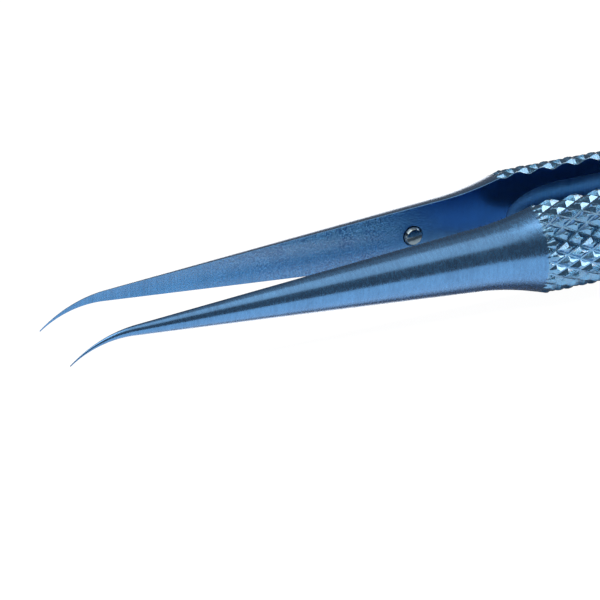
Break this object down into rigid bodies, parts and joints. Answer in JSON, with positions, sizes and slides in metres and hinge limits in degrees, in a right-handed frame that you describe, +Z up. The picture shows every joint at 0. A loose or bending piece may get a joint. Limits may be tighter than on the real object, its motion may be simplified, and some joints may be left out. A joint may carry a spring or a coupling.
{
  "type": "precision tweezers",
  "caption": "Titanium precision tweezers with round knurled handles, fine half-round jaws with down-turned points and spring leaves joined at the tail.",
  "frame": {"origin": "under the middle of the overall length, midway between the arms, level with the lowest knurling crests that the tweezers rest on", "axes": "+X from the points to the tail, +Y from the left arm to the right arm, in which the arms open, +Z up, away from the side to which the points turn down"},
  "size_m": [0.125, 0.0162, 0.0095],
  "materials": {
    "blue_titanium": "satin blue anodised titanium, fine circumferential turning marks",
    "polished_steel": "polished stainless steel",
    "bare_titanium": "satin bare titanium"
  },
  "bodies": {
    "tail": {"tail_spacer": "bare_titanium", "left_spring": "blue_titanium", "right_spring": "blue_titanium", "front_rivet": "bare_titanium", "rear_rivet": "bare_titanium"},
    "left_arm": {"left_arm": "blue_titanium"},
    "right_arm": {"right_arm": "blue_titanium", "stop_pin": "polished_steel"}
  },
  "joints": [
    {"name": "left_arm_close", "type": "hinge", "parent": "tail", "child": "left_arm", "pos_m": [0.0442, -0.0023, 0.00475], "axis": [0, 0, -1], "range_deg": [0, 2.08], "stiffness_Nm_per_rad": 1.34, "deforming": ["left_spring"]},
    {"name": "right_arm_close", "type": "hinge", "parent": "tail", "child": "right_arm", "pos_m": [0.0442, 0.0023, 0.00475], "axis": [0, 0, 1], "range_deg": [0, 2.08], "stiffness_Nm_per_rad": 1.34, "deforming": ["right_spring"]}
  ],
  "couplings": [
    {"joint": "right_arm_close", "follows": "left_arm_close", "ratio": 1}
  ]
}
